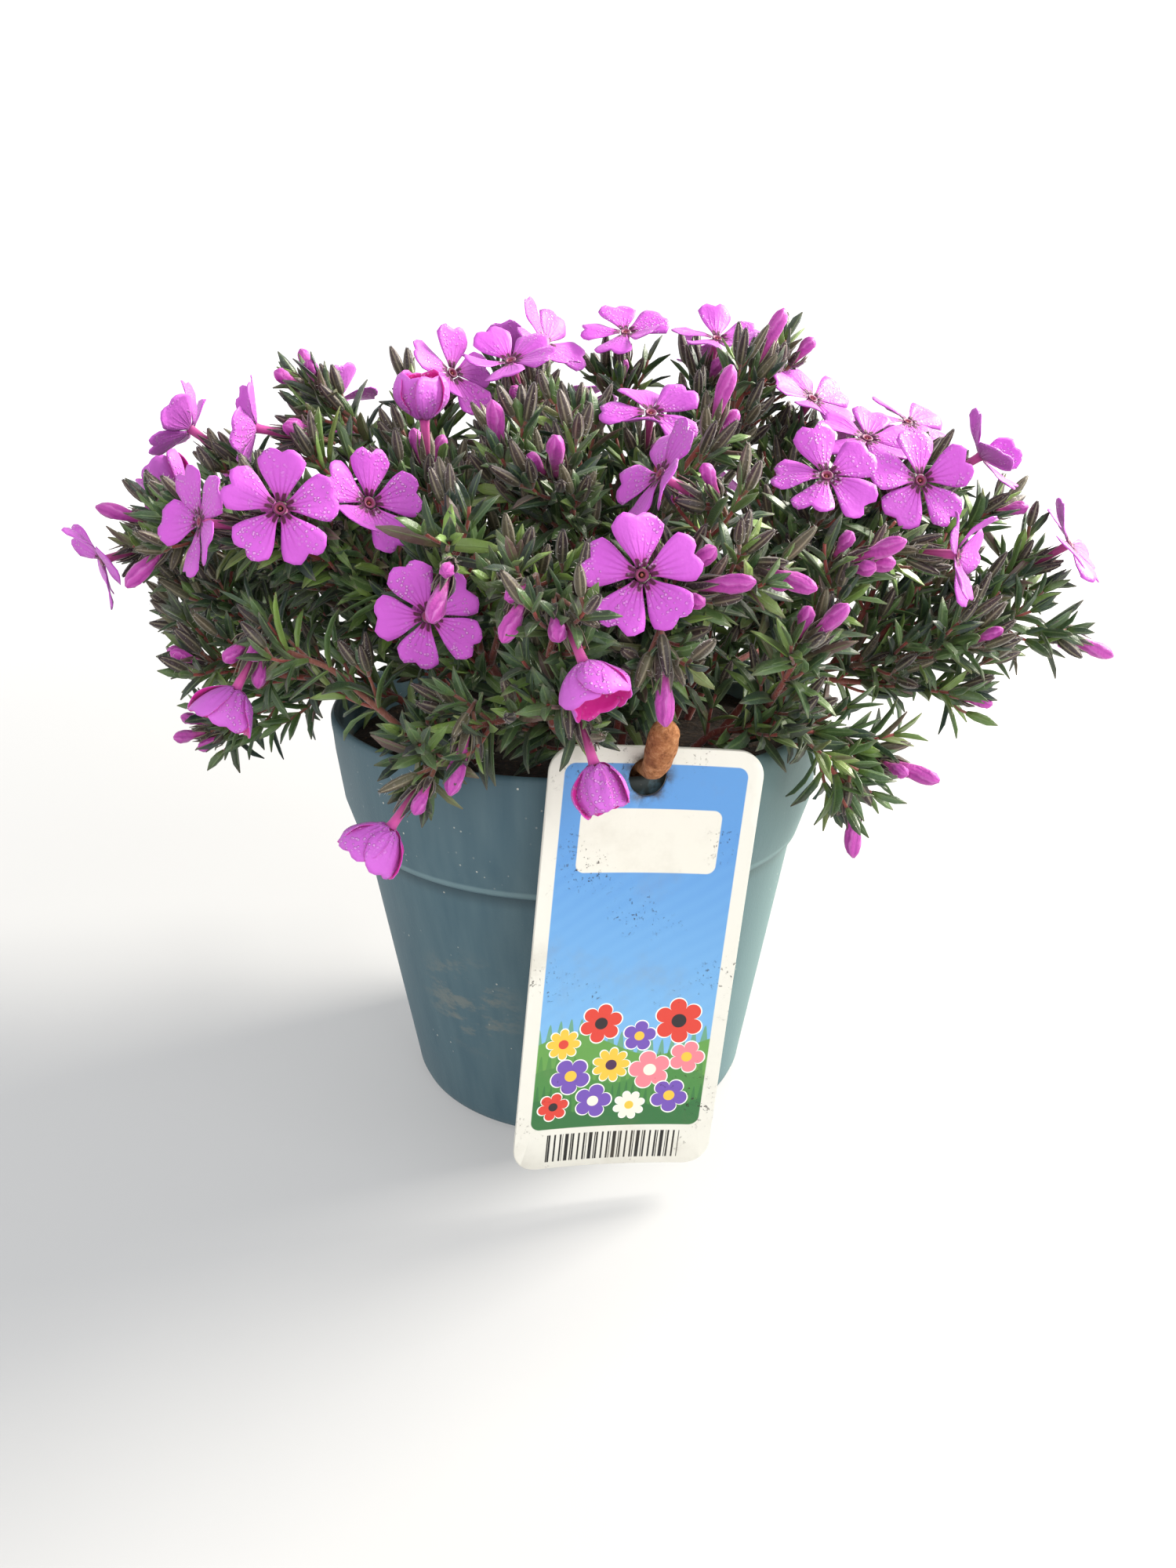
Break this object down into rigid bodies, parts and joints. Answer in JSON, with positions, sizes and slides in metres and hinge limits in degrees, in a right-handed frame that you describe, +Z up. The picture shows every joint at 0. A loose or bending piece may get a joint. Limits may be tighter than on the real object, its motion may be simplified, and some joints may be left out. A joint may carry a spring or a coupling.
{
  "type": "potted moss phlox plant",
  "caption": "A spreading moss phlox in flower in a round collared nursery pot, with a bare hanging plant label on a peg at the rim.",
  "frame": {"origin": "centre of the pot's flat foot, on the surface it stands on", "axes": "+Z up; -Y towards the viewer and the label; +X to the viewer's right, along the plant's widest spread"},
  "size_m": [0.2593, 0.1962, 0.2067],
  "materials": {
    "pot_plastic": "matt moulded teal plastic, lightly scuffed and dusty",
    "potting_soil": "dark crumbly peat",
    "label_card": "printed plastic card with a satin face and a few specks of soil",
    "peg_wood": "brown pressed fibre, dull",
    "foliage": "finely hairy dark green leaves on reddish stems",
    "petals": "soft mauve pink petals, silky, darker round the eye"
  },
  "bodies": {
    "root": {"pot": "pot_plastic", "soil": "potting_soil", "label": "label_card", "label_peg": "peg_wood", "leafy_spray_01": "foliage", "leafy_spray_02": "foliage", "leafy_spray_03": "foliage", "leafy_spray_04": "foliage", "leafy_spray_05": "foliage", "leafy_spray_06": "foliage", "leafy_spray_07": "foliage", "leafy_spray_08": "foliage", "leafy_spray_09": "foliage", "leafy_spray_10": "foliage", "leafy_spray_11": "foliage", "leafy_spray_12": "foliage", "leafy_spray_13": "foliage", "leafy_spray_14": "foliage", "leafy_spray_15": "foliage", "leafy_spray_16": "foliage", "leafy_spray_17": "foliage", "leafy_spray_18": "foliage", "leafy_spray_19": "foliage", "leafy_spray_20": "foliage", "bloom_front": "petals", "bloom_left_star": "petals", "bloom_left_side": "petals", "bloom_behind_star": "petals", "bloom_shade": "petals", "bloom_upper_mid": "petals", "bloom_crest_left": "petals", "bloom_crest_high": "petals", "bloom_crest_near": "petals", "bloom_crest_mid": "petals", "bloom_crest_right": "petals", "bloom_shoulder_high": "petals", "bloom_right_eye": "petals", "bloom_right_inner": "petals", "bloom_right_outer": "petals", "bloom_right_mid": "petals", "bloom_right_back": "petals", "bloom_right_low": "petals", "bloom_far_right": "petals", "bloom_left_back": "petals", "bloom_left_up": "petals", "bloom_far_left": "petals", "bloom_side_on": "petals", "bloom_cup_up": "petals", "bloom_nod_left": "petals", "bloom_nod_mid": "petals", "bloom_nod_label": "petals", "bloom_nod_low": "petals", "bloom_far_1": "petals", "bloom_far_2": "petals", "bloom_far_3": "petals", "bloom_far_4": "petals", "bloom_far_5": "petals", "bloom_far_6": "petals", "bloom_far_7": "petals", "bloom_far_8": "petals"}
  },
  "joints": []
}
